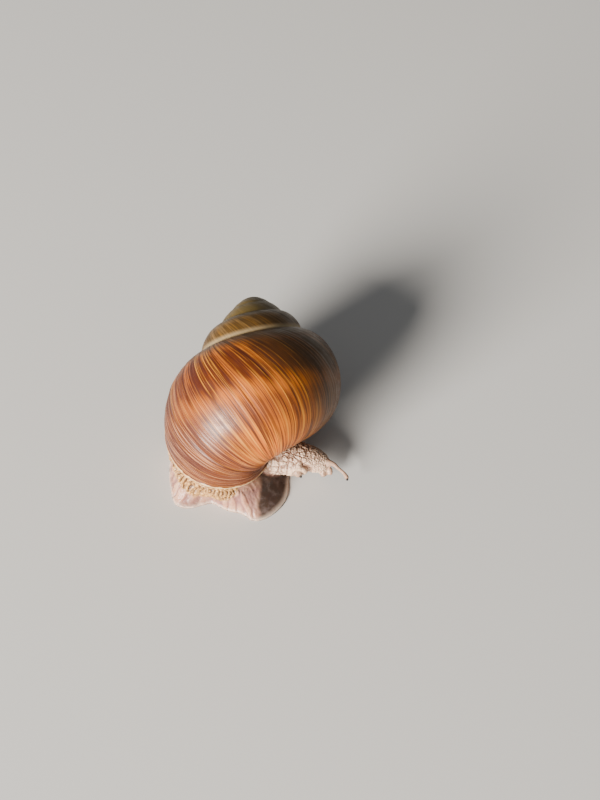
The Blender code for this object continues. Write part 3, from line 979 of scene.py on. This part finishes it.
skinLook = {
    "flesh": rgb(204, 158, 128),
    "pink": rgb(184, 130, 106),
    "head": rgb(244, 212, 182),
    "groove": rgb(106, 66, 48),
    "mauve": rgb(112, 72, 78),
    "collar": rgb(206, 156, 90),
    "pit": rgb(66, 34, 14),
    "feeler": rgb(112, 68, 48),
    "frill": rgb(232, 210, 190),
    # the foot's front flank: mostly painted shade, partly the skin's own darker tone
    "inner": rgb(22, 15, 12),
    # painted reflection: grey patches in the flank's painted shade
    "glintGrey": rgb(112, 100, 98),
    "lobe": rgb(228, 192, 160),
    "lips": rgb(86, 86, 112),
    # the head's upper back: darker skin, with painted shade on it
    "back": rgb(100, 68, 44),
    "roughness": 0.42,
    "roughSpread": (-0.1, 0.12),
    "roughNoise": (0.3, 0.7),
    "innerRoughness": 0.2,
    "specular": 0.4,
    "coat": 0.12,
    "coatRoughness": 0.2,
    "bumpHeight": 0.06 * mm,
    "bumpStrength": 0.4,
    "subsurface": 0.15,
    "subsurfaceRadius": (1.0, 0.5, 0.35),
    "subsurfaceScale": 0.8 * mm,
    # noise: scale per metre, detail and roughness
    "softNoise": (420, 4, 0.6),
    "speckNoise": (2600, 3, 0.6),
    "mottleNoise": (480, 3, 0.6),
    "pinkPatches": (0.35, 0.65),
    "glintPatches": (0.44, 0.70, 0, 0.5),
    "specks": (0.5, 0.68, 0, 0.22),
    # how strongly each zone's colour covers the ones before it
    "shares": {
        "head": 0.75,
        "collar": 0.9,
        "inner": 0.92,
        "back": 0.45,
        "lobe": 0.7,
        "lips": 0.75,
        "crease": 0.8,
        "pit": 1.0,
        "frill": 0.6,
    },
    "feelerShare": 0.6,
}


def skinFinish():
    finish, tree, shader = emptyFinish("snail_skin")
    look = skinLook
    place = put(tree, "ShaderNodeTexCoord").outputs["Object"]

    def mask(name, amount=1.0):
        read = put(tree, "ShaderNodeAttribute", attribute_name=name).outputs["Fac"]
        return sums(tree, "MULTIPLY", read, amount)

    def grain(name):
        scale, detail, rough = look[name]
        return cloud(tree, place, (scale, scale, scale), detail, rough)

    soft, speck, mottle = grain("softNoise"), grain("speckNoise"), grain("mottleNoise")
    # the flank's painted shade, broken by patches of painted reflection
    glintGrey = tint(tree, band(tree, mottle, *look["glintPatches"]), look["inner"], look["glintGrey"])
    crease = tint(tree, mask("head"), look["mauve"], look["groove"])
    colours = {**look, "inner": glintGrey, "crease": crease}
    colour = tint(tree, band(tree, soft, *look["pinkPatches"]), look["flesh"], look["pink"])
    for name, share in look["shares"].items():
        colour = tint(tree, mask(name, share), colour, colours[name])
    colour = tint(tree, band(tree, speck, *look["specks"]), colour, look["groove"])
    colour = tint(tree, mask("feeler", look["feelerShare"]), colour, look["feeler"])
    tree.links.new(colour, shader.inputs["Base Color"])
    less, more = look["roughSpread"]
    rough = band(tree, speck, *look["roughNoise"], look["roughness"] + less, look["roughness"] + more)
    rough = sums(tree, "ADD", rough, mask("inner", look["innerRoughness"]))
    tree.links.new(rough, shader.inputs["Roughness"])
    shader.inputs["Subsurface Weight"].default_value = look["subsurface"]
    shader.inputs["Subsurface Radius"].default_value = look["subsurfaceRadius"]
    shader.inputs["Subsurface Scale"].default_value = look["subsurfaceScale"]
    shader.inputs["Specular IOR Level"].default_value = look["specular"]
    shader.inputs["Coat Weight"].default_value = look["coat"]
    shader.inputs["Coat Roughness"].default_value = look["coatRoughness"]
    inputs = {"Height": speck, "Strength": look["bumpStrength"], "Distance": look["bumpHeight"]}
    tree.links.new(put(tree, "ShaderNodeBump", inputs).outputs[0], shader.inputs["Normal"])
    return finish


makeSkin()
print("skin made")

eyeLook = {
    "segments": 32,
    "rings": 20,
    "colour": rgb(22, 18, 18),
    "cloud": rgb(44, 34, 30),
    "cloudScale": 3000,  # per metre
    "roughness": 0.12,
}


def eyeFinish():
    finish, tree, shader = emptyFinish("snail_eye")
    place = put(tree, "ShaderNodeTexCoord").outputs["Object"]
    scale = eyeLook["cloudScale"]
    soft = cloud(tree, place, (scale, scale, scale))
    tree.links.new(tint(tree, soft, eyeLook["colour"], eyeLook["cloud"]), shader.inputs["Base Color"])
    shader.inputs["Roughness"].default_value = eyeLook["roughness"]
    return finish


def makeEye(name, finish):
    low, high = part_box(name)
    bm = bmesh.new()
    around, along = eyeLook["segments"], eyeLook["rings"]
    bmesh.ops.create_uvsphere(bm, u_segments=around, v_segments=along, radius=(high.z - low.z) / 2)
    bmesh.ops.translate(bm, vec=(low + high) / 2, verts=bm.verts)
    addPiece(bm, name + "_round", finish, [name])


eyeDark = eyeFinish()
for eyeNode in ("left_eye", "right_eye"):
    makeEye(eyeNode, eyeDark)
print("eyes made")

studio = {
    "floorSize": 3.0,
    "floorColour": (0.60, 0.59, 0.57, 1),
    "floorRoughness": 0.8,
    "keyDirection": Vector((-0.64, -0.7, 0.34)),
    "keyDistance": 1.5,
    "keySize": 0.8,
    "keyPower": 102,
    "keyColour": (1.0, 0.95, 0.88),
    "skyColour": (0.95, 0.97, 1.0, 1),
    "skyStrength": 0.18,
}


def makeFloor():
    bm = bmesh.new()
    bmesh.ops.create_grid(bm, x_segments=1, y_segments=1, size=studio["floorSize"] / 2)
    mesh = bpy.data.meshes.new("floor")
    bm.to_mesh(mesh)
    bm.free()
    finish, tree, shader = emptyFinish("studio_floor")
    shader.inputs["Base Color"].default_value = studio["floorColour"]
    shader.inputs["Roughness"].default_value = studio["floorRoughness"]
    mesh.materials.append(finish)
    floor = bpy.data.objects.new("floor", mesh)
    bpy.context.scene.collection.objects.link(floor)


def makeLight():
    data = bpy.data.lights.new("key", "AREA")
    data.shape = "DISK"
    data.size = studio["keySize"]
    data.energy = studio["keyPower"]
    data.color = studio["keyColour"]
    key = bpy.data.objects.new("key", data)
    toLight = studio["keyDirection"].normalized()
    key.location = toLight * studio["keyDistance"]
    key.rotation_euler = toLight.to_track_quat("Z", "Y").to_euler()
    key.visible_camera = False
    bpy.context.scene.collection.objects.link(key)
    world = bpy.data.worlds.new("studio")
    world.use_nodes = True
    world.node_tree.nodes["Background"].inputs["Color"].default_value = studio["skyColour"]
    world.node_tree.nodes["Background"].inputs["Strength"].default_value = studio["skyStrength"]
    bpy.context.scene.world = world


makeFloor()
makeLight()
print("floor and light made")
